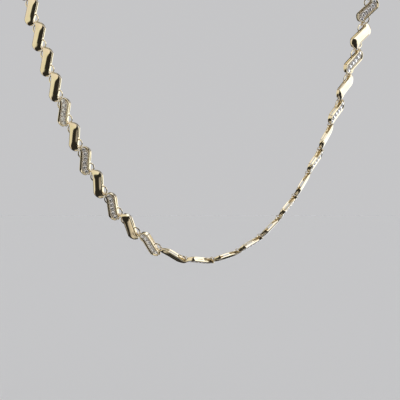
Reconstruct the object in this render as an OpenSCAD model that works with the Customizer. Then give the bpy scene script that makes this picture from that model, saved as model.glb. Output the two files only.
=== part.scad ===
/* [Chain] */
// Length of the whole necklace along the loop, clasp included
chain_len = 457.2; // [457.2:0.1:460]
// Distance between two neighbouring joints
pitch = 7.0; // [7:0.05:7.1]
// Catenary constant of the stretch that hangs in front
drape = 20.51; // [20:0.01:21]
// How far the left strand stands outside that curve at its top
left_sag = 0.75; // [0:0.05:0.8]
// The same for the right strand
right_sag = 0.35; // [0:0.05:0.8]
// How far both stand outside it everywhere
all_sag = 0.15; // [0:0.05:0.3]
// Links on each side of the lowest one
side_links = 31; // [31:1:31]
// How far the loop leans back behind the side arcs, degrees above level
back_tilt = 30; // [15:1:40]

/* [Link] */
// Length of the domed front plate
link_len = 7.66; // [7.5:0.02:7.7]
// Width of the front plate over both lobes
link_w = 5.2; // [4.8:0.1:5.4]
// Width of the S band at its waist, square to the band
waist_w = 2.76; // [2.6:0.02:2.8]
// Lean of the band at the waist, degrees from the strand
waist_tilt = 33; // [31:1:35]
// Height of the widest point of a lobe above the link's middle
shoulder = 1.75; // [1.7:0.05:1.8]
// Half of the slit between neighbouring front plates
slit = 0.13; // [0.12:0.01:0.15]
// Height of the crest of a gold link above its middle plane
crest = 0.7; // [0.6:0.05:0.8]
// Depth of the side wall below the middle plane
wall_drop = 0.7; // [0.65:0.05:0.75]
// Thickness of the side wall
wall_t = 0.3; // [0.25:0.01:0.32]
// Height of the long slot in the side wall
slot_h = 0.4; // [0.3:0.05:0.4]

/* [Joint] */
// Radius of the opening in the eye that bridges each notch
eye_r = 0.99; // [0.97:0.01:1]
// Width of the eye where the ring holds it, and its height
eye_wire = 0.26; // [0.24:0.01:0.28]
// Extra width of the eye at its outer side
eye_swell = 0.14; // [0:0.01:0.16]
// Inner radius of the ring that holds the next eye
ring_in = 0.36; // [0.34:0.01:0.36]
// Outer radius of that ring
ring_out = 0.54; // [0.52:0.01:0.56]
// Thickness of that ring
ring_t = 0.22; // [0.2:0.01:0.24]

/* [Stones] */
// Girdle diameter of a round stone
stone_d = 1.1; // [1:0.02:1.1]
// Distance between stones along the S
stone_step = 1.22; // [1.22:0.01:1.24]
// Stones in one link
stones_per_link = 6; // [6:2:6]

/* [Clasp] */
// Width of the clasp's body
clasp_w = 5; // [4.5:0.1:5.5]
// Thickness of the clasp's body
clasp_t = 1.8; // [1.5:0.1:2]
// Wire diameter of the end ring
end_wire = 0.6; // [0.5:0.05:0.7]

/* [Hidden] */
$fn = 48;
gold = "#d9bd7a";
stone_white = "#e8eef2";

// Every visible link in order from the upper left: its turn away from facing the front, in degrees
function turn_of(k) = [27, 27, 27, 30, 24, 33, 21, 32, 31, 42, 45, 70, 80,
                       86, 82, 87, 82, 86, 73, 76, 62, 55, 43, 31, 15][k + half_row];
half_row = 12;
// Links with stones run from pave_first to the last visible link, every other one
pave_first = -8;
turn_step = 4;

front_end = 12.5 * pitch;
left_hidden = [for (k = [-side_links:-half_row - 1]) k];
right_hidden = [for (k = [half_row + 1:side_links]) k];
gold_links = [for (k = [-half_row:half_row]) if (!has_stones(k)) k];
pave_links = [for (k = [-half_row:half_row]) if (has_stones(k)) k];
function has_stones(k) = k >= pave_first && k <= half_row && k % 2 == 0;
function link_no(k) = k + half_row + 1;
function two_digits(n) = n < 10 ? str("0", n) : str(n);
function gold_name(k) = str("gold_link_", two_digits(link_no(k)));
function pave_name(k) = str("pave_link_", two_digits(link_no(k)));
function stones_name(k) = str("stones_", two_digits(link_no(k)));

// The loop: a catenary in front, an arc at each side, half a circle behind
function unit(v) = v / norm(v);
function asinh(x) = ln(x + sqrt(x * x + 1));
function catenary(s) = [drape * asinh(s / drape), 0, sqrt(drape * drape + s * s) - drape];
function catenary_dir(s) = [drape, 0, s] / sqrt(drape * drape + s * s);
arc_start = catenary(front_end);
arc_dir = catenary_dir(front_end);
back_dir = [0, cos(back_tilt), sin(back_tilt)];
arc_angle = acos(arc_dir * back_dir);
arc_in = unit(back_dir - (arc_dir * back_dir) * arc_dir);
arc_drift = sin(arc_angle) * arc_dir[0] + (1 - cos(arc_angle)) * arc_in[0];
half_loop = chain_len / 2;
arc_r = (half_loop - front_end - 90 * PI / 180 * arc_start[0])
        / (PI / 180 * (arc_angle + 90 * arc_drift));
arc_len = arc_r * arc_angle * PI / 180;
function on_arc(t) = arc_start + arc_r * (sin(t) * arc_dir + (1 - cos(t)) * arc_in);
arc_end = on_arc(arc_angle);
back_r = arc_end[0];
back_mid = [0, arc_end[1], arc_end[2]];
nape = back_mid + back_r * back_dir;
function right_path(s) =
    s <= front_end ? catenary(s)
    : s <= front_end + arc_len ? on_arc((s - front_end) / arc_r * 180 / PI)
    : let (t = (s - front_end - arc_len) / back_r * 180 / PI)
      back_mid + back_r * [cos(t), sin(t) * back_dir[1], sin(t) * back_dir[2]];
function flip_x(p) = [-p[0], p[1], p[2]];
// The strands run a little straighter than a free catenary: sag away from it along out_dir
function sag_at(u) = u < 1 ? u * (u - 0.72) / 0.28 : 1;
function fade(t) = t < 0 ? 1 : t > 1 ? 0 : 1 - t * t * (3 - 2 * t);
function sag(s) = (all_sag + (s < 0 ? left_sag : right_sag) * sag_at(abs(s) / front_end))
                  * fade((abs(s) - front_end) / arc_len);
function path(s) = (s < 0 ? flip_x(right_path(-s)) : right_path(s)) + sag(s) * out_dir(s) - nape;

// Direction that points out of the loop, square to the strand
function right_out(s) =
    s <= front_end ? let (d = catenary_dir(s)) [d[2], 0, -d[0]]
    : s <= front_end + arc_len ? unit(cross(arc_dir, arc_in)) * sign(cross(arc_dir, arc_in)[0])
    : let (t = (s - front_end - arc_len) / back_r * 180 / PI)
      [cos(t), sin(t) * back_dir[1], sin(t) * back_dir[2]];
function out_dir(s) = s < 0 ? flip_x(right_out(-s)) : right_out(s);

// Turn of a link about the strand: 0 faces the front, 90 faces out of the loop
function turn(k) = abs(k) <= half_row ? turn_of(k)
                   : min(90, turn_of(sign(k) * half_row) + turn_step * (abs(k) - half_row));

// Where the ring of one link holds the eye of the next, in the link's own frame
joint_x = -0.35;
joint_z = -0.43;
eye_mid = [-0.1, 2.1];
joint_top = eye_mid[1] + sqrt(pow(eye_r + eye_wire / 2, 2) - pow(joint_x - eye_mid[0], 2));
joint_low = joint_top - pitch;
function joint(k) = path(pitch * k + joint_low);

// Frame of a stretch from joint a to joint b: x across the face, y along the strand, z out of it
function face_dir(y, out, t) =
    let (n = unit(out - (out * y) * y), m = cross(y, n), f = m[1] < 0 ? m : -m)
    unit(cos(t) * f + sin(t) * n);
function frame_at(a, b, out, t) =
    let (y = unit(b - a), z = face_dir(y, out, t), x = cross(y, z),
         o = (a + b) / 2 - (joint_top + joint_low) / 2 * y - joint_x * x - joint_z * z)
    [[x[0], y[0], z[0], o[0]], [x[1], y[1], z[1], o[1]], [x[2], y[2], z[2], o[2]], [0, 0, 0, 1]];
function link_frame(k) = frame_at(joint(k), joint(k + 1), out_dir(pitch * k), turn(k));

// Outline of the S plate, drawn inset by d: arcs at the shoulder, the lobe's end and the notch
half_l = link_len / 2;
half_w = link_w / 2;
tip_y = 3.4;
tip_cut = 0.3;
shoulder_r = (waist_w / 2 - (half_w * cos(waist_tilt) - shoulder * sin(waist_tilt)))
             / (1 - cos(waist_tilt));
end_r = (pow(half_w - slit, 2) + pow(half_l - shoulder, 2)) / (2 * (half_w - slit));
notch_r = (tip_y * sin(waist_tilt) - waist_w / 2 - slit * cos(waist_tilt)) / (1 - cos(waist_tilt));
function arc(c, r, from, to, n) = [for (i = [0:n])
    let (a = from + (to - from) * i / n) [c[0] + r * cos(a), c[1] + r * sin(a)]];
// Where the inset arcs of lobe and notch cross, once the tip's straight edge has run out
end_mid = [half_w - end_r, shoulder];
notch_mid = [slit - notch_r, tip_y];
function arcs_cross(d) =
    let (between = notch_mid - end_mid, l = norm(between), a = end_r - d, b = notch_r + d,
         along = (a * a - b * b + l * l) / (2 * l), off = sqrt(a * a - along * along))
    end_mid + (along * between + off * [between[1], -between[0]]) / l;
function tip_x(d) = slit + d + tip_cut * max(0, 1 - d / 0.42);
function tip_height(d) = shoulder + sqrt(pow(end_r - d, 2) - pow(tip_x(d) - end_mid[0], 2));
function has_edge(d) = tip_height(d) > tip_y;
function heading(v) = atan2(v[1], v[0]);
function end_angle(d) = has_edge(d) ? acos((tip_x(d) - end_mid[0]) / (end_r - d))
                        : heading(arcs_cross(d) - end_mid);
function notch_angle(d) = has_edge(d) ? 0 : heading(arcs_cross(d) - notch_mid) - 0.5;
function half_outline(d) = concat(
    arc([half_w - shoulder_r, shoulder], shoulder_r - d, -waist_tilt, 0, 3),
    [for (i = [1:6]) arc(end_mid, end_r - d, 0, end_angle(d), 6)[i]],
    arc(notch_mid, notch_r + d, notch_angle(d), -waist_tilt, 3));
function outline(d) = concat(half_outline(d), -half_outline(d));

// Closed skin through loops of equal length, lowest first
function skin_faces(n, loops) = concat(
    [[for (i = [0:n - 1]) i]],
    [for (l = [0:loops - 2], i = [0:n - 1])
        [l * n + i, (l + 1) * n + i, (l + 1) * n + (i + 1) % n, l * n + (i + 1) % n]],
    [[for (i = [n - 1:-1:0]) (loops - 1) * n + i]]);
module skin(levels) {
    n = len(outline(0));
    points = [for (l = levels, p = outline(l[0])) [p[0], p[1], l[1]]];
    polyhedron(points = points, faces = skin_faces(n, len(levels)));
}

// Gold plate: inset and height of each loop from the underside to the crest
plate_low = 0.1;
plate_edge = 0.28;
dome = [[0, plate_low], [0, plate_edge], [0.42, 0.56], [0.86, crest]];
plain_dome = [[0, plate_low], [0, plate_edge], [0.8, crest]];

// Side wall with its two long slots, closed at both ends and open behind
wall_half = 3.4;
wall_in = 0.04;
sunk = 0.06;
wall_rise = 0.28;
keel_r = (wall_half * wall_half + wall_rise * wall_rise) / (2 * wall_rise);
slot_from = -1.6;
slot_to = 0.8;
slot_top = 0.05;
module wall_ring() {
    difference() {
        intersection() {
            polygon(outline(wall_in));
            square([link_w + 1, 2 * wall_half], center = true);
        }
        intersection() {
            polygon(outline(wall_in + wall_t));
            square([link_w + 1, 2 * (wall_half - wall_t)], center = true);
        }
    }
}
module side_wall() {
    difference() {
        intersection() {
            translate([0, 0, -wall_drop])
                linear_extrude(wall_drop + plate_low + sunk)
                    wall_ring();
            translate([0, 0, keel_r - wall_drop])
                rotate([0, 90, 0])
                    cylinder(r = keel_r, h = link_w + 1, center = true, $fn = 180);
        }
        for (turned = [0, 180])
            rotate([0, 0, turned])
                translate([-link_w / 2 - 1, slot_from, slot_top - slot_h])
                    cube([link_w / 2 + 0.7, slot_to - slot_from, slot_h]);
    }
}

// Eye across a notch, and the ring that holds the next link's eye
module eye() {
    translate([0, 0, joint_z - eye_wire / 2])
        linear_extrude(eye_wire)
            difference() {
                translate(eye_mid - [eye_swell / 2, 0]) circle(eye_r + eye_wire);
                translate(eye_mid) circle(eye_r);
                polygon(outline(wall_in + wall_t / 2));
            }
}
module standing_ring(inner, outer, t) {
    rotate([0, 90, 0])
        translate([0, 0, -t / 2])
            linear_extrude(t)
                difference() {
                    circle(outer);
                    circle(inner);
                }
}
module frame_of_link() {
    side_wall();
    eye();
    rotate([0, 0, 180]) eye();
    translate([joint_x, joint_low, joint_z]) standing_ring(ring_in, ring_out, ring_t);
}

module gold_link(levels) {
    color(gold) union() {
        skin(levels);
        frame_of_link();
    }
}

// Stones along the S: two arcs that bend away from the waist
line_r = 3.6;
line_tilt = 45;
function stone_half(s) = let (a = line_tilt - s / line_r * 180 / PI)
    [line_r * (cos(a) - cos(line_tilt)), line_r * (sin(line_tilt) - sin(a))];
function stone_at(i) = let (s = (i - (stones_per_link - 1) / 2) * stone_step)
    s < 0 ? -stone_half(-s) : stone_half(s);
floor_top = 0.3;
rim_top = 0.55;
rim_t = 0.3;
end_rim_t = 0.14;
seat_r = 0.5;
girdle_z = 0.42;
pave_half = 3.5;
tip_mid = [0.6, 3.42];
tip_r = 0.42;
tip_hole = 0.19;

module pave_outline(side, end) {
    intersection() {
        polygon(outline(side));
        square([link_w + 1, 2 * (pave_half - end)], center = true);
    }
}
module pave_plate() {
    difference() {
        translate([0, 0, plate_low]) linear_extrude(rim_top - plate_low) pave_outline(0, 0);
        translate([0, 0, floor_top]) linear_extrude(rim_top) pave_outline(rim_t, end_rim_t);
    }
}
module pierced_tip() {
    translate([tip_mid[0], tip_mid[1], plate_low - 0.05])
        cylinder(r = tip_r, h = floor_top);
}
module tip_bore() {
    translate([tip_mid[0], tip_mid[1], -0.2]) cylinder(r = tip_hole, h = 1);
}
module pave_link() {
    color(gold) difference() {
        union() {
            pave_plate();
            pierced_tip();
            rotate([0, 0, 180]) pierced_tip();
            frame_of_link();
        }
        for (i = [0:stones_per_link - 1])
            translate([stone_at(i)[0], stone_at(i)[1], plate_low - 0.1])
                cylinder(r = seat_r, h = 1);
        tip_bore();
        rotate([0, 0, 180]) tip_bore();
    }
}

// Round stone with eight sides: table, crown, girdle and pavilion
facets = 8;
table_r = 0.31;
crown_h = 0.17;
girdle_h = 0.04;
pavilion_h = 0.45;
function ring_of(r, z) = [for (i = [0:facets - 1])
    let (a = 360 * i / facets) [r * cos(a), r * sin(a), z]];
module stone() {
    r = stone_d / 2;
    points = concat([[0, 0, -pavilion_h]], ring_of(r, 0), ring_of(r, girdle_h),
                    ring_of(table_r, girdle_h + crown_h));
    pavilion = [for (i = [0:facets - 1]) [0, 1 + i, 1 + (i + 1) % facets]];
    bands = [for (l = [0:1], i = [0:facets - 1])
        [1 + l * facets + i, 1 + (l + 1) * facets + i,
         1 + (l + 1) * facets + (i + 1) % facets, 1 + l * facets + (i + 1) % facets]];
    top = [[for (i = [facets - 1:-1:0]) 1 + 2 * facets + i]];
    polyhedron(points = points, faces = concat(pavilion, bands, top));
}
module stone_row() {
    color(stone_white)
        for (i = [0:stones_per_link - 1])
            translate([stone_at(i)[0], stone_at(i)[1], girdle_z]) stone();
}

module gold_strand(ks) {
    for (k = ks) multmatrix(link_frame(k)) gold_link(plain_dome);
}

// Clasp: one plain piece that lies along the nape, held between the two last links
clasp_from = joint(side_links + 1);
clasp_to = path(pitch * -side_links + joint_low);
clasp_span = norm(clasp_to - clasp_from);
function clasp_frame() =
    let (y = unit(clasp_to - clasp_from), z = face_dir(y, out_dir(half_loop), 90), x = cross(y, z))
    [[x[0], y[0], z[0], clasp_from[0]], [x[1], y[1], z[1], clasp_from[1]],
     [x[2], y[2], z[2], clasp_from[2]], [0, 0, 0, 1]];
body_from = 0.38;
body_to = 12.3;
nose_t = 1.1;
hole_from = 5.2;
hole_w = 2.2;
end_ring_r = 2.35;
end_gap = 0.18;
end_ring_y = body_to - nose_t
             + sqrt(pow(end_ring_r - end_wire - end_gap, 2) - pow(clasp_t / 2, 2));
tag_in = 0.57;

module clasp_body() {
    half = clasp_w / 2;
    tail = 0.9;
    translate([0, 0, -clasp_t / 2])
        linear_extrude(clasp_t)
            difference() {
                hull() {
                    translate([0, body_from + tail]) circle(tail, $fn = 32);
                    translate([0, body_to - half]) circle(half, $fn = 32);
                }
                hull() {
                    translate([0, hole_from + hole_w / 2]) circle(hole_w / 2, $fn = 32);
                    translate([0, body_to - nose_t - hole_w / 2]) circle(hole_w / 2, $fn = 32);
                }
            }
}
module clasp() {
    color(gold) multmatrix(clasp_frame()) union() {
        clasp_body();
        standing_ring(ring_in, ring_out, ring_t);
    }
}
module end_ring() {
    tag_mid = clasp_span - tag_in - eye_wire / 2;
    color(gold) multmatrix(clasp_frame()) union() {
        translate([0, end_ring_y, 0])
            standing_ring(end_ring_r - end_wire, end_ring_r, end_wire);
        translate([0, tag_mid, -eye_wire / 2])
            linear_extrude(eye_wire)
                difference() {
                    circle(tag_in + eye_wire);
                    circle(tag_in);
                }
    }
}

for (k = gold_links)
    multmatrix(link_frame(k)) gold_link(dome);
for (k = pave_links)
    multmatrix(link_frame(k)) pave_link();
for (k = pave_links)
    multmatrix(link_frame(k)) stone_row();
gold_strand(left_hidden);  // chain_left
gold_strand(right_hidden);  // chain_right
clasp();
end_ring();
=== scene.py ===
"""Looks for the flat link chain: smooth gold and stone-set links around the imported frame."""
import math

import bmesh
import bpy
from mathutils import Matrix, Vector


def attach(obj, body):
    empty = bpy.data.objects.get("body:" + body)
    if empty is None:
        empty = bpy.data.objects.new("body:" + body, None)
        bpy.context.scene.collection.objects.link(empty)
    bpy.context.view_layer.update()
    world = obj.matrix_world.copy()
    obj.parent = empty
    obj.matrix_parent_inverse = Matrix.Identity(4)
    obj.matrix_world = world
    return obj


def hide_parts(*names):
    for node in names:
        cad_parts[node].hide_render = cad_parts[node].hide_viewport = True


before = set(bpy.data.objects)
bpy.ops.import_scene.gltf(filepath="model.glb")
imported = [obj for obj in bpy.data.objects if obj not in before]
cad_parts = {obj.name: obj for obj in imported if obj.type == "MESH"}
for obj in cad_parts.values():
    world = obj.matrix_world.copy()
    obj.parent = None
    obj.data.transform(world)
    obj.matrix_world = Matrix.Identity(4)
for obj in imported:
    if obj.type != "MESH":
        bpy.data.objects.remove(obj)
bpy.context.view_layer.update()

MM = 0.001


# The hanging line, in mm
CHAIN_LEN = 457.2
PITCH = 7.0
DRAPE = 20.51
LEFT_SAG, RIGHT_SAG, ALL_SAG, SAG_TURN = 0.75, 0.35, 0.15, 0.72
SIDE_LINKS, HALF_ROW, PAVE_FIRST = 31, 12, -8
BACK_TILT = math.radians(30)
# degrees that each front link is turned about the strand, from the upper left round
TURNS = (27, 27, 27, 30, 24, 33, 21, 32, 31, 42, 45, 70, 80,
         86, 82, 87, 82, 86, 73, 76, 62, 55, 43, 31, 15)
TURN_STEP = 4


def catenary(s):
    """Point of the front curve, a length s from its lowest point."""
    return Vector((DRAPE * math.asinh(s / DRAPE), 0, math.hypot(DRAPE, s) - DRAPE))


def catenary_dir(s):
    return Vector((DRAPE, 0, s)).normalized()


FRONT_END = (HALF_ROW + 0.5) * PITCH
ARC_START, ARC_DIR = catenary(FRONT_END), catenary_dir(FRONT_END)
BACK_DIR = Vector((0, math.cos(BACK_TILT), math.sin(BACK_TILT)))
ARC_ANGLE = math.acos(ARC_DIR.dot(BACK_DIR))
ARC_IN = (BACK_DIR - ARC_DIR.dot(BACK_DIR) * ARC_DIR).normalized()
ARC_DRIFT = math.sin(ARC_ANGLE) * ARC_DIR.x + (1 - math.cos(ARC_ANGLE)) * ARC_IN.x
ARC_R = ((CHAIN_LEN / 2 - FRONT_END - math.pi / 2 * ARC_START.x)
         / (ARC_ANGLE + math.pi / 2 * ARC_DRIFT))
ARC_LEN = ARC_R * ARC_ANGLE


def on_arc(t):
    return ARC_START + ARC_R * (math.sin(t) * ARC_DIR + (1 - math.cos(t)) * ARC_IN)


BACK_R = on_arc(ARC_ANGLE).x
BACK_MID = on_arc(ARC_ANGLE)
BACK_MID.x = 0
NAPE = BACK_MID + BACK_R * BACK_DIR


def round_back(t):
    return Vector((math.cos(t), math.sin(t) * BACK_DIR.y, math.sin(t) * BACK_DIR.z))


def right_path(s):
    """Point of the right half: the front curve, an arc over the shoulder, half a circle behind."""
    if s <= FRONT_END:
        return catenary(s)
    if s <= FRONT_END + ARC_LEN:
        return on_arc((s - FRONT_END) / ARC_R)
    return BACK_MID + BACK_R * round_back((s - FRONT_END - ARC_LEN) / BACK_R)


def right_out(s):
    """Direction out of the loop there."""
    if s <= FRONT_END:
        along = catenary_dir(s)
        return Vector((along.z, 0, -along.x))
    if s <= FRONT_END + ARC_LEN:
        out = ARC_DIR.cross(ARC_IN).normalized()
        return out if out.x > 0 else -out
    return round_back((s - FRONT_END - ARC_LEN) / BACK_R)


def flip_x(p):
    return Vector((-p.x, p.y, p.z))


def out_dir(s):
    return flip_x(right_out(-s)) if s < 0 else right_out(s)


def fade(t):
    t = min(max(t, 0), 1)
    return 1 - t * t * (3 - 2 * t)


def sag(s):
    """How far the strand bows out from its plain curve."""
    u = abs(s) / FRONT_END
    share = u * (u - SAG_TURN) / (1 - SAG_TURN) if u < 1 else 1
    return ((ALL_SAG + (LEFT_SAG if s < 0 else RIGHT_SAG) * share)
            * fade((abs(s) - FRONT_END) / ARC_LEN))


def path(s):
    """Point of the whole strand, measured from the nape."""
    point = flip_x(right_path(-s)) if s < 0 else right_path(s)
    return point + sag(s) * out_dir(s) - NAPE


def turn(k):
    """How far link k is turned about the strand."""
    if abs(k) <= HALF_ROW:
        return math.radians(TURNS[k + HALF_ROW])
    end = TURNS[0] if k < 0 else TURNS[-1]
    return math.radians(min(90, end + TURN_STEP * (abs(k) - HALF_ROW)))


# One link, in mm
LINK_LEN, LINK_W, WAIST_W = 7.66, 5.2, 2.76
HALF_L, HALF_W = LINK_LEN / 2, LINK_W / 2
LEAN = math.radians(33)
SHOULDER, SLIT, TIP_Y, TIP_CUT = 1.75, 0.13, 3.4, 0.3
SHOULDER_R = ((WAIST_W / 2 - (HALF_W * math.cos(LEAN) - SHOULDER * math.sin(LEAN)))
              / (1 - math.cos(LEAN)))
END_R = ((HALF_W - SLIT) ** 2 + (HALF_L - SHOULDER) ** 2) / (2 * (HALF_W - SLIT))
NOTCH_R = ((TIP_Y * math.sin(LEAN) - WAIST_W / 2 - SLIT * math.cos(LEAN))
           / (1 - math.cos(LEAN)))
SHOULDER_MID = Vector((HALF_W - SHOULDER_R, SHOULDER, 0))
END_MID = Vector((HALF_W - END_R, SHOULDER, 0))
NOTCH_MID = Vector((NOTCH_R - SLIT, -TIP_Y, 0))
UP = Vector((0, 0, 1))

JOINT_X, JOINT_Z = -0.35, -0.43
EYE_MID = Vector((-0.1, 2.1, JOINT_Z))
EYE_R, EYE_WIRE, EYE_WIDER, EYE_SWELL = 0.99, 0.26, 0.45, 1.5
EYE_START, EYE_END = math.radians(64), math.radians(244)
RING_IN, RING_OUT, RING_T = 0.36, 0.54, 0.22
JOINT_TOP = EYE_MID.y + math.sqrt((EYE_R + EYE_WIRE / 2) ** 2 - (JOINT_X - EYE_MID.x) ** 2)
JOINT_LOW = JOINT_TOP - PITCH


def joint(k):
    """Where link k hangs in the ring of the one before it."""
    return path(PITCH * k + JOINT_LOW)


def frame_at(a, b, out, angle):
    """x across the face, y along the strand, z out of the face; b is the upper joint."""
    y = (b - a).normalized()
    outward = (out - out.dot(y) * y).normalized()
    facing = y.cross(outward)
    if facing.y > 0:
        facing = -facing
    z = (math.cos(angle) * facing + math.sin(angle) * outward).normalized()
    x = y.cross(z)
    origin = (a + b) / 2 - (JOINT_TOP + JOINT_LOW) / 2 * y - JOINT_X * x - JOINT_Z * z
    turned = Matrix((x, y, z)).transposed().to_4x4()
    return Matrix.Scale(MM, 4) @ Matrix.Translation(origin) @ turned


def link_frame(k):
    return frame_at(joint(k), joint(k + 1), out_dir(PITCH * k), turn(k))


# Modelling helpers
def edges_of(geom):
    return [g for g in geom if isinstance(g, bmesh.types.BMEdge)]


def verts_of(geom):
    return [g for g in geom if isinstance(g, bmesh.types.BMVert)]


def faces_of(geom):
    return [g for g in geom if isinstance(g, bmesh.types.BMFace)]


def edges_on(verts):
    """Edges on the vertices, each once and in the same order at every run."""
    return list(dict.fromkeys(e for v in verts for e in v.link_edges))


def drag(bm, tip, steps, centre=(0, 0, 0), angle=0.0, step=(0, 0, 0)):
    """Draws a line of vertices on from tip, round a centre or straight on."""
    made = bmesh.ops.spin(bm, geom=[tip], cent=centre, axis=UP, angle=angle,
                          dvec=step, steps=steps)
    return verts_of(made["geom_last"])[0]


def s_side(bm, inset, end_angle, steps, low_end=-TIP_Y):
    """Right side of the S, drawn inset, from its lower notch up to its upper end.

    steps are those of the notch, the waist's two halves, the shoulder and the end.
    """
    notch, low, high, shoulder, end = steps
    square = Vector((math.cos(LEAN), -math.sin(LEAN), 0))
    start = math.asin((low_end + TIP_Y) / (NOTCH_R + inset))
    arm = Vector((-math.cos(start), math.sin(start), 0))
    tip = bm.verts.new(NOTCH_MID + (NOTCH_R + inset) * arm)
    first = len(bm.verts) - 1
    tip = drag(bm, tip, notch, NOTCH_MID, start - LEAN)
    waist = (WAIST_W / 2 - inset) * square
    tip = drag(bm, tip, low, step=(waist - tip.co) / low)
    shoulder_start = SHOULDER_MID + (SHOULDER_R - inset) * square
    tip = drag(bm, tip, high, step=(shoulder_start - waist) / high)
    tip = drag(bm, tip, shoulder, SHOULDER_MID, LEAN)
    drag(bm, tip, end, END_MID, end_angle)
    bm.verts.ensure_lookup_table()
    return list(bm.verts)[first:]


def turned_copy(bm, verts):
    """The same line turned half way round the link's middle."""
    made = bmesh.ops.duplicate(bm, geom=verts + edges_on(verts))
    back = made["vert_map"]
    copy = [back[v] for v in verts]
    bmesh.ops.rotate(bm, verts=copy, cent=(0, 0, 0), matrix=Matrix.Rotation(math.pi, 3, "Z"))
    return copy


def sharpen(bm, degrees=38):
    """Smooth faces, with a sharp edge wherever two of them meet more steeply than that."""
    for f in bm.faces:
        f.smooth = True
    for e in bm.edges:
        if len(e.link_faces) == 2 and e.calc_face_angle(0) > math.radians(degrees):
            e.smooth = False


def settled(bm):
    """The same shape with its vertices and faces in one fixed order.

    Some operators make them in another order at each run, and a cut would follow that.
    """
    place = {v: tuple(round(c, 5) for c in v.co) for v in bm.verts}
    fixed = bmesh.new()
    twin = {v: fixed.verts.new(v.co) for v in sorted(bm.verts, key=place.get)}
    for f in sorted(bm.faces, key=lambda f: sorted(place[v] for v in f.verts)):
        fixed.faces.new([twin[v] for v in f.verts]).material_index = f.material_index
    fixed.normal_update()
    bm.free()
    return fixed


def finish_shape(bm):
    """Merges doubles, turns the faces outwards and marks the sharp edges."""
    bmesh.ops.remove_doubles(bm, verts=bm.verts, dist=1e-4)
    bmesh.ops.recalc_face_normals(bm, faces=bm.faces)
    if bm.calc_volume(signed=True) < 0:
        bmesh.ops.reverse_faces(bm, faces=bm.faces)
    bm = settled(bm)
    sharpen(bm)
    return bm


def bevel_sharp(bm, offset, segments, degrees=50):
    """Rounds every edge where two faces meet more steeply than that."""
    sharp = [e for e in bm.edges
             if len(e.link_faces) == 2 and e.calc_face_angle(0) > math.radians(degrees)]
    bmesh.ops.bevel(bm, geom=sharp, offset=offset, segments=segments, profile=0.5,
                    affect="EDGES", material=-1, clamp_overlap=True)


def tube_round(bm, start, width, height, centre, axis, angle, steps, sides=8):
    """A wire of oval section carried round a centre; a full turn closes on itself."""
    made = bmesh.ops.create_circle(bm, cap_ends=False, segments=sides, radius=0.5)
    verts = made["verts"]
    bmesh.ops.scale(bm, verts=verts, vec=(width, height, 1))
    arm = (start - centre).normalized()
    across = axis.cross(arm)
    place = Matrix((arm, axis, across)).transposed().to_4x4()
    bmesh.ops.transform(bm, matrix=Matrix.Translation(start) @ place, verts=verts)
    rim = edges_on(verts)
    whole = abs(angle) > 2 * math.pi - 1e-6
    made = bmesh.ops.spin(bm, geom=verts + rim, cent=centre, axis=axis, angle=angle,
                          steps=steps, use_merge=whole)
    if not whole:
        last = edges_of(made["geom_last"])
        bmesh.ops.edgeloop_fill(bm, edges=rim)
        bmesh.ops.edgeloop_fill(bm, edges=last)


def to_mesh(bm, name="shape"):
    mesh = bpy.data.meshes.new(name)
    bm.to_mesh(mesh)
    bm.free()
    return mesh


def cut_with(bm, cutter):
    """The shape less the cutter; both materials are there so that faces keep their own."""
    objects = []
    for shape, name in ((bm, "shape"), (cutter, "cutter")):
        mesh = to_mesh(shape, name)
        mesh.materials.append(gold)
        mesh.materials.append(plating)
        objects.append(bpy.data.objects.new(name, mesh))
        bpy.context.scene.collection.objects.link(objects[-1])
    cut = objects[0].modifiers.new("cut", "BOOLEAN")
    cut.operation, cut.solver, cut.object = "DIFFERENCE", "MANIFOLD", objects[1]
    bpy.context.view_layer.update()
    graph = bpy.context.evaluated_depsgraph_get()
    made = bmesh.new()
    made.from_mesh(objects[0].evaluated_get(graph).data)
    for o in objects:
        mesh = o.data
        bpy.data.objects.remove(o)
        bpy.data.meshes.remove(mesh)
    return made


def join(*parts):
    """One bmesh of several, each left a closed shell of its own."""
    whole = bmesh.new()
    for part in parts:
        mesh = bpy.data.meshes.new("part")
        part.to_mesh(mesh)
        part.free()
        whole.from_mesh(mesh)
        bpy.data.meshes.remove(mesh)
    return whole


# Gold plate
PLATE_LOW, PLATE_EDGE, CREST, LONG_FALL = 0.1, 0.25, 0.75, 0.55
DOME_POWER, UNDERSIDE = 0.75, 0.5
TIP_ANGLE = math.acos((SLIT + TIP_CUT - END_MID.x) / END_R)


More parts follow.
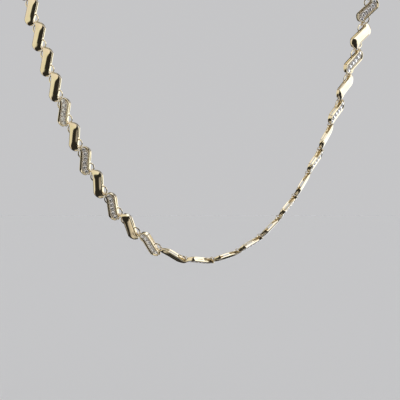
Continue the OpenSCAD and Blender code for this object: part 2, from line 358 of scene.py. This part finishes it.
def gold_plate(fine):
    """Domed S: two sides drawn, bridged, parted across and lifted."""
    bm = bmesh.new()
    across = bm.verts.layers.float.new("across")
    half_width = bm.verts.layers.float.new("half_width")
    steps = (5 * fine, 7 * fine, 4 * fine, 3 * fine, 8 * fine)
    right = s_side(bm, 0, TIP_ANGLE, steps)
    left = turned_copy(bm, right)
    left.reverse()
    for a, b in zip(right, left):
        a[across], b[across] = 1.0, -1.0
        a[half_width] = b[half_width] = (a.co - b.co).length / 2
    ends = [(a.co.xy, b.co.xy) for a, b in zip(right, left)]
    tip_half = right[-1][half_width]
    for i in range(len(right) - 1):
        bm.faces.new((right[i], right[i + 1], left[i + 1], left[i]))
    rungs = [bm.edges.get(pair) for pair in zip(right, left)]
    bmesh.ops.subdivide_edges(bm, edges=rungs, cuts=4 * fine + 3, use_grid_fill=True)
    for v in bm.verts:
        u, w = v[across], v[half_width]
        fan = math.sin(u * math.pi / 2)
        narrow = min(1, max(0, (w - tip_half) / (WAIST_W / 2 - tip_half)))
        rise = math.sqrt(1 - (1 - narrow) ** 2)
        along = 1 - LONG_FALL * abs(v.co.y / HALF_L) ** 3
        v.co.z = PLATE_EDGE + (CREST - PLATE_EDGE) * rise * along * (1 - fan ** 2) ** DOME_POWER
        v[across] = fan
    spread_rungs(bm, ends, across)
    top = list(bm.faces)
    made = bmesh.ops.extrude_face_region(bm, geom=top)
    for v in verts_of(made["geom"]):
        v.co.z = PLATE_LOW + UNDERSIDE * (v.co.z - PLATE_EDGE)
    return finish_shape(bm)


def spread_rungs(bm, ends, across):
    """Closes the rows up towards both sides, where the dome falls away fastest."""
    for v in bm.verts:
        here = v.co.xy
        a, b = min(ends, key=lambda pair: off_line(here, *pair))
        spot = (a + b) / 2 + v[across] * (a - b) / 2
        v.co.x, v.co.y = spot


def off_line(p, a, b):
    """How far p lies from the line between a and b."""
    along = a - b
    t = min(1, max(0, (p - b).dot(along) / along.length_squared))
    return (b + t * along - p).length


# Side wall with its slots
WALL_IN, WALL_T, WALL_DROP, WALL_TOP, WALL_SOFT = 0.04, 0.3, 0.7, 0.16, 0.06
SLOT_FROM, SLOT_TO, SLOT_LOW, SLOT_HIGH, SLOT_SOFT = -1.6, 0.8, -0.35, 0.05, 0.17
BAR_LEN, BAR_X = 3.4, -2
KEEL_RISE = 0.28
KEEL_R = (TIP_Y ** 2 + KEEL_RISE ** 2) / (2 * KEEL_RISE)


def outline_face(bm, inset, top, height, steps):
    """Flat face of the S with both tips cut off square at the given height along it."""
    end_angle = math.asin((top - SHOULDER) / (END_R - inset))
    right = s_side(bm, inset, end_angle, steps, -min(top, TIP_Y))
    left = turned_copy(bm, right)
    bmesh.ops.translate(bm, verts=right + left, vec=(0, 0, height))
    for pair in ((right[-1], left[0]), (left[-1], right[0])):
        bmesh.ops.contextual_create(bm, geom=list(pair))
    rim = edges_on(right + left)
    face = bmesh.ops.edgeloop_fill(bm, edges=rim)["faces"][0]
    face.normal_update()
    if face.normal.z < 0:
        face.normal_flip()
    return face


def slot_cutter():
    """Two bars with rounded long edges, one for the slot of each side."""
    bm = bmesh.new()
    for way in (1, -1):
        verts = bmesh.ops.create_cube(bm, size=1)["verts"]
        bmesh.ops.scale(bm, verts=verts, vec=(BAR_LEN, SLOT_TO - SLOT_FROM, SLOT_HIGH - SLOT_LOW))
        middle = Vector((BAR_X, (SLOT_FROM + SLOT_TO) / 2, (SLOT_LOW + SLOT_HIGH) / 2))
        bmesh.ops.translate(bm, verts=verts, vec=Vector((way, way, 1)) * middle)
    along = [e for e in bm.edges if abs(e.verts[0].co.x - e.verts[1].co.x) > 1]
    bmesh.ops.bevel(bm, geom=along, offset=SLOT_SOFT, segments=3, profile=0.5,
                    affect="EDGES", material=-1)
    return bm


def side_wall(fine):
    """Wall that follows the outline under the plate, keeled below and slotted at both sides."""
    bm = bmesh.new()
    plan = outline_face(bm, WALL_IN, TIP_Y, -WALL_DROP,
                        (3, 2 * fine, 2 * fine, 3 * fine, 5 * fine))
    ring = bmesh.ops.inset_region(bm, faces=[plan], thickness=WALL_T, use_even_offset=True,
                                  use_boundary=True)["faces"]
    bmesh.ops.delete(bm, geom=[plan], context="FACES_ONLY")
    made = bmesh.ops.extrude_face_region(bm, geom=ring)
    bmesh.ops.translate(bm, verts=verts_of(made["geom"]), vec=(0, 0, WALL_TOP + WALL_DROP))
    bmesh.ops.recalc_face_normals(bm, faces=bm.faces)
    bevel_sharp(bm, WALL_SOFT, 2)
    for v in bm.verts:
        if v.co.z < -WALL_DROP / 2:
            v.co.z += KEEL_R - math.sqrt(KEEL_R ** 2 - v.co.y ** 2)
    return finish_shape(cut_with(settled(bm), settled(slot_cutter())))


# Eyes and joint ring
def half_turned(bm):
    """Turns a shape to the other end of the link."""
    bmesh.ops.rotate(bm, verts=bm.verts, cent=(0, 0, 0), matrix=Matrix.Rotation(math.pi, 3, "Z"))


def eye(turned):
    """Wire that bridges a notch of the S, widest on its outer side."""
    bm = bmesh.new()
    mid_r = EYE_R + EYE_WIRE / 2
    start = EYE_MID + mid_r * Vector((math.cos(EYE_START), math.sin(EYE_START), 0))
    tube_round(bm, start, EYE_WIRE, EYE_WIRE, EYE_MID, UP, EYE_END - EYE_START, 18)
    for v in bm.verts:
        arm = v.co.xy - EYE_MID.xy
        outward = max(0, -arm.normalized().x)
        wider = EYE_R + (arm.length - EYE_R) * (1 + EYE_WIDER * outward ** EYE_SWELL)
        v.co.xy = EYE_MID.xy + arm.normalized() * wider
    if turned:
        half_turned(bm)
    return finish_shape(bm)


def joint_ring(mid=Vector((JOINT_X, JOINT_LOW, JOINT_Z))):
    """Small ring that holds the next link's eye."""
    bm = bmesh.new()
    start = mid + Vector((0, (RING_IN + RING_OUT) / 2, 0))
    tube_round(bm, start, RING_OUT - RING_IN, RING_T, mid, Vector((1, 0, 0)),
               2 * math.pi, 20)
    return finish_shape(bm)


def link_back(fine):
    """All of a link but its plate."""
    return [side_wall(fine), eye(False), eye(True), joint_ring()]


# Stone-set plate
LINE_R, LINE_TILT = 3.6, math.radians(45)
STONE_D, STONE_STEP, STONES, STONE_TURN = 1.1, 1.22, 6, math.radians(17)
GIRDLE_Z, CULET_Z = 0.42, -0.45
# points in the ring, its radius as a share of the stone's, its height, its shift in points
STONE_RINGS = ((8, 0.56, 0.21, 0), (8, 0.79, 0.135, 0.5), (16, 1, 0.035, 0),
               (16, 1, 0.0, 0), (8, 0.24, -0.335, 0.5))
SEAT_LOW_R, SEAT_HIGH_R, SEAT_DEEP, SEAT_Z = 0.4, 0.56, 0.5, 0.2
FLOOR, RIM_TOP, RIM_T, SLOPE, PAVE_HALF = 0.22, 0.55, 0.26, 0.26, 3.5
RIM_SOFT = 0.1
# inward and up at each step: over the rounded rim, then down its slope to the floor
RIM_ROUND = ((0.03, 0.07), (0.06, 0.03), (RIM_T - 0.15, 0), (0.06, -0.03),
             (SLOPE, FLOOR + 0.03 - RIM_TOP))
BEAD_R, BEAD_INSET, BEAD_GAP, BEAD_END, BEAD_CLEAR = 0.16, 0.66, 0.4, 0.4, 0.08
BEAD_LIFT, PAIR_LIFT, PAIR_ASIDE = 0.1, 0.02, 0.42
LUG_MID, LUG_R, LUG_HOLE = Vector((0.6, 3.42, 0.2)), 0.42, 0.19
LUG_LIFT, LUG_TALL, BORE_WIDER, BORE_LONG = 0.12, 0.56, 0.02, 1.6
PLATED = 1


def stone_line(s):
    """Point on the middle of the S at a distance s from the link's middle, and its heading."""
    a = LINE_TILT - abs(s) / LINE_R
    spot = Vector((LINE_R * (math.cos(a) - math.cos(LINE_TILT)),
                   LINE_R * (math.sin(LINE_TILT) - math.sin(a)), 0))
    heading = Vector((math.sin(a), math.cos(a), 0))
    return (spot if s >= 0 else -spot), heading


def stone_places():
    """Middles of the stones on one link."""
    return [stone_line((i - (STONES - 1) / 2) * STONE_STEP)[0] for i in range(STONES)]


def bore(cutter, mid, low_r, high_r, deep, sides):
    bmesh.ops.create_cone(cutter, cap_ends=True, segments=sides, radius1=low_r, radius2=high_r,
                          depth=deep, matrix=Matrix.Translation(mid))


def pave_plate():
    """Floor inside a rounded rim, with the seats and tip holes bored."""
    bm = bmesh.new()
    face = outline_face(bm, 0, PAVE_HALF, PLATE_LOW, (3, 4, 3, 6, 11))
    made = bmesh.ops.extrude_face_region(bm, geom=[face])
    bmesh.ops.translate(bm, verts=verts_of(made["geom"]),
                        vec=(0, 0, RIM_TOP - RIM_SOFT - PLATE_LOW))
    floor = faces_of(made["geom"])
    for inward, rise in RIM_ROUND:
        bmesh.ops.inset_region(bm, faces=floor, thickness=inward, depth=rise,
                               use_even_offset=True, use_boundary=True)
    for f in floor:
        f.material_index = PLATED
    bmesh.ops.recalc_face_normals(bm, faces=bm.faces)
    cutter = bmesh.new()
    for spot in stone_places():
        bore(cutter, spot + SEAT_Z * UP, SEAT_LOW_R, SEAT_HIGH_R, SEAT_DEEP, 20)
    for mid in (LUG_MID, Matrix.Rotation(math.pi, 3, "Z") @ LUG_MID):
        bore(cutter, mid, LUG_HOLE + BORE_WIDER, LUG_HOLE + BORE_WIDER, BORE_LONG, 16)
    for f in cutter.faces:
        f.material_index = PLATED
    return finish_shape(cut_with(settled(bm), settled(cutter)))


def lug(turned):
    """Round pierced boss at a tip of the S."""
    bm = bmesh.new()
    mid = LUG_MID + LUG_LIFT * UP
    start = mid + Vector(((LUG_R + LUG_HOLE) / 2, 0, 0))
    tube_round(bm, start, LUG_R - LUG_HOLE, LUG_TALL, mid, UP, 2 * math.pi, 20, sides=12)
    if turned:
        half_turned(bm)
    return finish_shape(bm)


def bead(bm, place):
    bmesh.ops.create_uvsphere(bm, u_segments=8, v_segments=6, radius=BEAD_R,
                              matrix=Matrix.Translation(place))


def spaced(points, gap):
    """Points a gap apart along a line of points."""
    picked, left_over = [points[0]], gap
    for a, b in zip(points, points[1:]):
        step, done = (b - a).length, 0
        while step - done >= left_over:
            done += left_over
            picked.append(a + done / step * (b - a))
            left_over = gap
        left_over -= step - done
    return picked


def grains():
    """Beads of metal raised from the floor: two rows along the rims, pairs between the stones."""
    bm = bmesh.new()
    line = bmesh.new()
    end_angle = math.asin((PAVE_HALF - BEAD_END - SHOULDER) / (END_R - BEAD_INSET))
    right = s_side(line, BEAD_INSET, end_angle, (12, 6, 6, 6, 12), BEAD_END - PAVE_HALF)
    one_side = spaced([v.co.copy() for v in right], BEAD_GAP)
    line.free()
    stones = stone_places()
    for spot in one_side + [-p for p in one_side]:
        clear = min((spot - stone).length for stone in stones)
        if clear > STONE_D / 2 + BEAD_CLEAR:
            bead(bm, spot + Vector((0, 0, FLOOR + BEAD_LIFT)))
    for i in range(STONES + 1):
        spot, heading = stone_line((i - STONES / 2) * STONE_STEP)
        side = Vector((heading.y, -heading.x, 0))
        for way in (1, -1):
            bead(bm, spot + way * PAIR_ASIDE * side + Vector((0, 0, GIRDLE_Z + PAIR_LIFT)))
    for f in bm.faces:
        f.material_index = PLATED
    return finish_shape(bm)


def stone_cut():
    """Round brilliant: rings of points for table, crown, girdle and pavilion, wrapped."""
    bm = bmesh.new()
    for count, share, z, shift in STONE_RINGS:
        turn_by = Matrix.Rotation(shift * 2 * math.pi / count, 4, "Z")
        bmesh.ops.create_circle(bm, segments=count, radius=share * STONE_D / 2,
                                matrix=Matrix.Translation((0, 0, z)) @ turn_by)
    bm.verts.new((0, 0, CULET_Z))
    bmesh.ops.convex_hull(bm, input=bm.verts[:])
    bmesh.ops.dissolve_limit(bm, angle_limit=math.radians(1), verts=bm.verts, edges=bm.edges)
    wires = [e for e in bm.edges if not e.link_faces]
    bmesh.ops.delete(bm, geom=wires, context="EDGES")
    bmesh.ops.recalc_face_normals(bm, faces=bm.faces)
    return bm


def stone_row():
    """Six stones in their seats, each turned a little further than the last."""
    bm = bmesh.new()
    one = stone_cut()
    mesh = bpy.data.meshes.new("one_stone")
    one.to_mesh(mesh)
    one.free()
    for i, spot in enumerate(stone_places()):
        place = (Matrix.Translation(spot + GIRDLE_Z * UP)
                 @ Matrix.Rotation(STONE_TURN * i, 4, "Z"))
        bm.from_mesh(mesh)
        fresh = bm.verts[-len(mesh.vertices):]
        bmesh.ops.transform(bm, matrix=place, verts=fresh)
    bpy.data.meshes.remove(mesh)
    return bm


# Clasp and its ring
CLASP_T, CLASP_HALF, CLASP_TAIL, CLASP_TAIL_Y, CLASP_NOSE_Y = 1.8, 2.5, 0.9, 1.28, 9.8
CLASP_SOFT = 0.35
HOLE_HALF, HOLE_LOW_Y, HOLE_HIGH_Y = 1.1, 6.3, 10.1
LOOP_IN, LOOP_WIRE, LOOP_Y, TAG_IN = 1.75, 0.6, 12.486, 0.57


def clasp_frame():
    """y from the last right link's ring to the last left one's, z out of the neck."""
    a, b = joint(SIDE_LINKS + 1), joint(-SIDE_LINKS)
    y = (b - a).normalized()
    out = out_dir(CHAIN_LEN / 2)
    z = (out - out.dot(y) * y).normalized()
    turned = Matrix((y.cross(z), y, z)).transposed().to_4x4()
    return Matrix.Scale(MM, 4) @ Matrix.Translation(a) @ turned


def capsule(low_r, low_y, high_r, high_y, height):
    """Closed block with two round ends, its sides straight from one to the other."""
    bm = bmesh.new()
    lean = math.asin((high_r - low_r) / (high_y - low_y))
    low, high = Vector((0, low_y, 0)), Vector((0, high_y, 0))
    side = Vector((math.cos(lean), -math.sin(lean), 0))
    tip = bm.verts.new(high + high_r * side)
    tip = drag(bm, tip, 20, high, math.pi + 2 * lean)
    other = Vector((-side.x, side.y, 0))
    tip = drag(bm, tip, 1, step=low + low_r * other - tip.co)
    tip = drag(bm, tip, 10, low, math.pi - 2 * lean)
    bm.verts.ensure_lookup_table()
    bmesh.ops.contextual_create(bm, geom=[bm.verts[0], tip])
    bmesh.ops.edgeloop_fill(bm, edges=bm.edges)
    made = bmesh.ops.extrude_face_region(bm, geom=bm.faces[:])
    bmesh.ops.translate(bm, verts=verts_of(made["geom"]), vec=(0, 0, height))
    bmesh.ops.translate(bm, verts=bm.verts, vec=(0, 0, -height / 2))
    bmesh.ops.recalc_face_normals(bm, faces=bm.faces)
    return bm


def flat_clasp():
    """Flat clasp with a long opening, softened edges and its tail ring."""
    body = cut_with(capsule(CLASP_TAIL, CLASP_TAIL_Y, CLASP_HALF, CLASP_NOSE_Y, CLASP_T),
                    capsule(HOLE_HALF, HOLE_LOW_Y, HOLE_HALF, HOLE_HIGH_Y, 2 * CLASP_T))
    bmesh.ops.dissolve_limit(body, angle_limit=math.radians(1), verts=body.verts,
                             edges=body.edges)
    bevel_sharp(body, CLASP_SOFT, 4)
    return join(finish_shape(body), joint_ring(Vector((0, 0, 0))))


def clasp_loop():
    """Ring that the clasp holds, with the small eye that the last link holds."""
    ring = bmesh.new()
    mid = Vector((0, LOOP_Y, 0))
    tube_round(ring, mid + Vector((0, LOOP_IN + LOOP_WIRE / 2, 0)), LOOP_WIRE, LOOP_WIRE, mid,
               Vector((1, 0, 0)), 2 * math.pi, 48, sides=14)
    tag = bmesh.new()
    span = (joint(-SIDE_LINKS) - joint(SIDE_LINKS + 1)).length
    tag_mid = Vector((0, span - TAG_IN - EYE_WIRE / 2, 0))
    tube_round(tag, tag_mid + Vector((TAG_IN + EYE_WIRE / 2, 0, 0)), EYE_WIRE, EYE_WIRE,
               tag_mid, UP, 2 * math.pi, 28, sides=10)
    return join(finish_shape(ring), finish_shape(tag))


# Finishes
GOLD_DEEP, GOLD_PALE = (0.80, 0.67, 0.43), (0.86, 0.74, 0.50)
PLATED_DEEP, PLATED_PALE = (0.84, 0.77, 0.66), (0.93, 0.87, 0.75)
STONE_WARM, STONE_CLEAR = (0.92, 0.89, 0.83), (1.0, 0.97, 0.92)
FLOOR_COLOUR = (0.831, 0.811, 0.744, 1)


def nodes_of(name):
    mat = bpy.data.materials.new(name)
    mat.use_nodes = True
    tree = mat.node_tree
    shader = tree.nodes["Principled BSDF"]
    return mat, tree, shader


def add(tree, kind, **values):
    """New node, with the values of its sockets or settings."""
    node = tree.nodes.new(kind)
    for key, value in values.items():
        if key in node.inputs:
            node.inputs[key].default_value = value
        else:
            setattr(node, key, value)
    return node


def set_stops(ramp, stops):
    """Gives a colour ramp its stops, (place, colour or grey level) each, in order."""
    ends = (ramp.elements[0], ramp.elements[1])
    for element, (place, colour) in zip(ends, (stops[0], stops[-1])):
        element.position = place
        element.color = whole_colour(colour)
    for place, colour in stops[1:-1]:
        ramp.elements.new(place).color = whole_colour(colour)


def whole_colour(colour):
    return (*colour, 1) if isinstance(colour, tuple) else (colour, colour, colour, 1)


def polished_metal(name, low_tint, high_tint, smoothest, dullest, metallic=1.0):
    """High polish with fine wipe marks, and a little warm and cool drift in the colour."""
    mat, tree, shader = nodes_of(name)
    link = tree.links.new
    where = add(tree, "ShaderNodeTexCoord")
    drift = add(tree, "ShaderNodeTexNoise", Scale=420.0, Detail=2.0)
    link(where.outputs["Object"], drift.inputs["Vector"])
    tint = add(tree, "ShaderNodeValToRGB")
    set_stops(tint.color_ramp, [(0.35, low_tint), (0.65, high_tint)])
    link(drift.outputs["Fac"], tint.inputs["Fac"])
    link(tint.outputs["Color"], shader.inputs["Base Color"])
    marks = add(tree, "ShaderNodeTexNoise", Scale=5200.0, Detail=3.0)
    link(where.outputs["Object"], marks.inputs["Vector"])
    rough = add(tree, "ShaderNodeMapRange")
    rough.inputs["To Min"].default_value = smoothest
    rough.inputs["To Max"].default_value = dullest
    link(marks.outputs["Fac"], rough.inputs["Value"])
    link(rough.outputs["Result"], shader.inputs["Roughness"])
    bump = add(tree, "ShaderNodeBump", Strength=0.04, Distance=0.00002)
    link(marks.outputs["Fac"], bump.inputs["Height"])
    link(bump.outputs["Normal"], shader.inputs["Normal"])
    shader.inputs["Metallic"].default_value = metallic
    return mat


def cut_stone():
    """Clear stone, part mirror, so that its facets stay bright without a light behind."""
    mat, tree, shader = nodes_of("clear cut stone")
    link = tree.links.new
    where = add(tree, "ShaderNodeTexCoord")
    cloud = add(tree, "ShaderNodeTexNoise", Scale=900.0, Detail=1.0)
    link(where.outputs["Object"], cloud.inputs["Vector"])
    tint = add(tree, "ShaderNodeValToRGB")
    set_stops(tint.color_ramp, [(0, STONE_WARM), (1, STONE_CLEAR)])
    link(cloud.outputs["Fac"], tint.inputs["Fac"])
    link(tint.outputs["Color"], shader.inputs["Base Color"])
    shader.inputs["Metallic"].default_value = 0.6
    shader.inputs["Transmission Weight"].default_value = 0.5
    shader.inputs["IOR"].default_value = 2.3
    shader.inputs["Roughness"].default_value = 0.02
    return mat


# Pieces in place
def put(name, mesh, materials, slot, *nodes):
    """Makes a piece of the mesh, which stands for the named solids."""
    mesh.name = name
    for material in materials:
        mesh.materials.append(material)
    piece = bpy.data.objects.new(name, mesh)
    bpy.context.scene.collection.objects.link(piece)
    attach(piece, "root")
    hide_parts(*nodes)
    return piece


def strand(template, ks):
    """One mesh of all the links numbered ks."""
    bm = bmesh.new()
    for k in ks:
        bm.from_mesh(template)
        fresh = bm.verts[-len(template.vertices):]
        bmesh.ops.transform(bm, matrix=link_frame(k), verts=fresh)
    return to_mesh(bm)


def has_stones(k):
    """Every second link from the fifth to the last one in front."""
    return PAVE_FIRST <= k <= HALF_ROW and k % 2 == 0


gold = polished_metal("polished pale gold", GOLD_DEEP, GOLD_PALE, 0.05, 0.13)
plating = polished_metal("white plated setting", PLATED_DEEP, PLATED_PALE, 0.18, 0.32, 0.75)
stone = cut_stone()
# the links in front have finer faces than the hidden ones
gold_shape = to_mesh(join(gold_plate(2), *link_back(2)))
plain_shape = to_mesh(join(gold_plate(1), *link_back(1)))
pave_shape = to_mesh(join(pave_plate(), lug(False), lug(True), grains(), *link_back(2)))
row_shape = to_mesh(stone_row())

for k in range(-HALF_ROW, HALF_ROW + 1):
    number = f"{k + HALF_ROW + 1:02d}"
    place = link_frame(k)
    kinds = ([("pave_link_", pave_shape, (gold, plating), "gold"),
              ("stones_", row_shape, (stone,), "stone")]
             if has_stones(k) else [("gold_link_", gold_shape, (gold,), "gold")])
    for kind, shape, materials, slot in kinds:
        mesh = shape.copy()
        mesh.transform(place)
        put("polished_" + kind + number, mesh, materials, slot, kind + number)

put("polished_chain_left", strand(plain_shape, range(-SIDE_LINKS, -HALF_ROW)), (gold,), "gold",
    "chain_left")
put("polished_chain_right", strand(plain_shape, range(HALF_ROW + 1, SIDE_LINKS + 1)), (gold,),
    "gold", "chain_right")
for name, shape in (("clasp", flat_clasp()), ("end_ring", clasp_loop())):
    mesh = to_mesh(shape)
    mesh.transform(clasp_frame())
    put("polished_" + name, mesh, (gold,), "gold", name)


# Camera
CAMERA_AWAY, CAMERA_UP, CAMERA_LENS, SENSOR = 294, 15.828, 100, 36

low_point = path(0)
camera_data = bpy.data.cameras.new("camera")
camera_data.lens = CAMERA_LENS
camera_data.sensor_width = SENSOR
camera_data.clip_start = 0.01
camera = bpy.data.objects.new("camera", camera_data)
bpy.context.scene.collection.objects.link(camera)
bpy.context.scene.camera = camera
camera.location = (0, (low_point.y - CAMERA_AWAY) * MM, (low_point.z + CAMERA_UP) * MM)
camera.rotation_euler = (math.pi / 2, 0, 0)


# Floor and light
FLOOR_HALF, FLOOR_Z = 4, -0.19

# The room is given by tables of degrees and what is there. The degrees run round it, 0 at the
# camera's side and then towards its right, or up it, from -90 straight below to 90 overhead.

# round: the height of the dark skirt's top edge, which fades over SKIRT_EDGE degrees
SKIRT = ((-180, -20), (-120, -31), (-102, -25), (-90, -20), (-70, -17), (-58, -14), (-36, -9),
         (-22, 0), (-10, 20), (0, 28), (24, 24), (40, 12), (50, 0), (62, -12), (100, -24),
         (180, -20))
SKIRT_EDGE = 4
# brightness above the skirt, round and up
WALLS = ((-180, 0.5), (-168, 0.08), (-128, 0.06), (-120, 0.52), (-70, 0.49), (-20, 0.56), (0, 0.5),
         (30, 1.0), (60, 1.05), (130, 1.0), (170, 0.9), (180, 0.5))
CEILING = ((-90, 1), (28, 1), (42, 0.3), (58, 0.3), (66, 1), (90, 1))
# brightness of the ground, up and round, with a faint glow over all that is higher
GROUND = ((-90, 0.12), (-64, 0.14), (-57, 0.38), (-48, 0.4), (-44, 0.016), (90, 0.012))
GROUND_SIDE = ((-180, 0.1), (-140, 0.1), (-115, 1), (150, 1), (180, 0.1))
# low light from the front, round and up
FRONT_SIDE = ((-180, 0), (-32, 0), (-24, 1), (8, 1), (18, 0), (180, 0))
FRONT_RISE = ((-90, 0), (-52, 0), (-44, 0.34), (-34, 0.34), (-28, 0), (90, 0))
# colour of all of it, up and round
TINT = ((-90, (1, 0.98, 0.95)), (-20, (1, 0.96, 0.94)), (-9, (0.97, 0.99, 0.86)),
        (-1, (0.98, 0.98, 0.9)), (12, (1, 0.96, 0.95)), (40, (1, 1, 1)), (90, (1, 1, 1)))
SIDE_TINT = ((-180, (0.94, 0.97, 1.07)), (-160, (1, 1, 1)), (15, (1, 1, 1)),
             (55, (0.88, 0.94, 1.14)), (160, (0.88, 0.94, 1.14)), (180, (0.94, 0.97, 1.07)))
# dim screen behind, round and up, and the share of light that it adds, here takes away
SCREEN_SIDE = ((-180, 0), (98, 0), (114, 1), (168, 1), (180, 0))
SCREEN_RISE = ((-90, 0), (-44, 0), (-34, 1), (-18, 1), (-12, 0), (5, 0), (14, 1), (45, 1), (60, 0),
               (90, 0))
SCREEN_DIM = -0.7
ROOM_LIGHT = 1.8
# what the camera sees behind the floor's far edge
BACKDROP = (0.56, 0.56, 0.57, 1)


def pale_floor():
    bm = bmesh.new()
    bmesh.ops.create_grid(bm, x_segments=1, y_segments=1, size=FLOOR_HALF)
    bmesh.ops.translate(bm, verts=bm.verts, vec=(0, 0, FLOOR_Z))
    floor = bpy.data.objects.new("floor", to_mesh(bm, "floor"))
    bpy.context.scene.collection.objects.link(floor)
    mat, tree, shader = nodes_of("pale floor")
    shader.inputs["Base Color"].default_value = FLOOR_COLOUR
    shader.inputs["Roughness"].default_value = 1.0
    shader.inputs["Specular IOR Level"].default_value = 0.0
    floor.data.materials.append(mat)
    floor.visible_glossy = False


def level_by(tree, source, stops):
    """Grey level or colour that follows a value from 0 to 1 through the stops."""
    ramp = add(tree, "ShaderNodeValToRGB")
    set_stops(ramp.color_ramp, stops)
    tree.links.new(source, ramp.inputs["Fac"])
    return ramp.outputs["Color"]


def sums(tree, operation, a, b):
    """Socket with the result of a sum on two sockets or numbers."""
    node = add(tree, "ShaderNodeMath", operation=operation)
    for socket, value in zip(node.inputs, (a, b)):
        if isinstance(value, (int, float)):
            socket.default_value = value
        else:
            tree.links.new(value, socket)
    return node.outputs[0]


def studio():
    """A bright room over a dark skirt, whose edge is low at the sides and high at the camera's."""
    world = bpy.data.worlds.new("studio")
    bpy.context.scene.world = world
    world.use_nodes = True
    tree = world.node_tree
    tree.nodes.clear()
    link = tree.links.new
    where = add(tree, "ShaderNodeTexCoord")
    parts = add(tree, "ShaderNodeSeparateXYZ")
    link(where.outputs["Generated"], parts.inputs[0])
    towards_camera = sums(tree, "MULTIPLY", parts.outputs["Y"], -1)
    side = sums(tree, "ARCTAN2", parts.outputs["X"], towards_camera)
    round_share = sums(tree, "ADD", sums(tree, "DIVIDE", side, 2 * math.pi), 0.5)
    rise = sums(tree, "DIVIDE", sums(tree, "ARCSINE", parts.outputs["Z"], 0), math.pi)
    rise_share = sums(tree, "ADD", rise, 0.5)

    def around(stops):
        return level_by(tree, round_share, [((d + 180) / 360, v) for d, v in stops])

    def upwards(stops):
        return level_by(tree, rise_share, [((d + 90) / 180, v) for d, v in stops])

    skirt = around([(d, (e + 90) / 180) for d, e in SKIRT])
    above = sums(tree, "SUBTRACT", rise_share, skirt)
    lit = sums(tree, "MULTIPLY", above, 180 / SKIRT_EDGE)
    lit = sums(tree, "MINIMUM", sums(tree, "MAXIMUM", lit, 0), 1)
    screen = sums(tree, "MULTIPLY", around(SCREEN_SIDE), upwards(SCREEN_RISE))
    shade = sums(tree, "ADD", sums(tree, "MULTIPLY", screen, SCREEN_DIM), 1)
    room = sums(tree, "MULTIPLY", around(WALLS), upwards(CEILING))
    room = sums(tree, "MULTIPLY", room, shade)
    ground = sums(tree, "MULTIPLY", upwards(GROUND), around(GROUND_SIDE))
    front = sums(tree, "MULTIPLY", around(FRONT_SIDE), upwards(FRONT_RISE))
    level = sums(tree, "ADD", sums(tree, "MULTIPLY", room, lit), ground)
    level = sums(tree, "ADD", level, front)
    light = add(tree, "ShaderNodeBackground")
    tint = add(tree, "ShaderNodeVectorMath", operation="MULTIPLY")
    link(upwards(TINT), tint.inputs[0])
    link(around(SIDE_TINT), tint.inputs[1])
    link(tint.outputs[0], light.inputs["Color"])
    link(sums(tree, "MULTIPLY", level, ROOM_LIGHT), light.inputs["Strength"])
    plain = add(tree, "ShaderNodeBackground", Strength=1.0)
    plain.inputs["Color"].default_value = BACKDROP
    seen = add(tree, "ShaderNodeLightPath")
    choice = add(tree, "ShaderNodeMixShader")
    link(seen.outputs["Is Camera Ray"], choice.inputs["Fac"])
    link(light.outputs[0], choice.inputs[1])
    link(plain.outputs[0], choice.inputs[2])
    out = add(tree, "ShaderNodeOutputWorld")
    link(choice.outputs[0], out.inputs["Surface"])


pale_floor()
studio()
bpy.context.scene.view_settings.view_transform = "Standard"
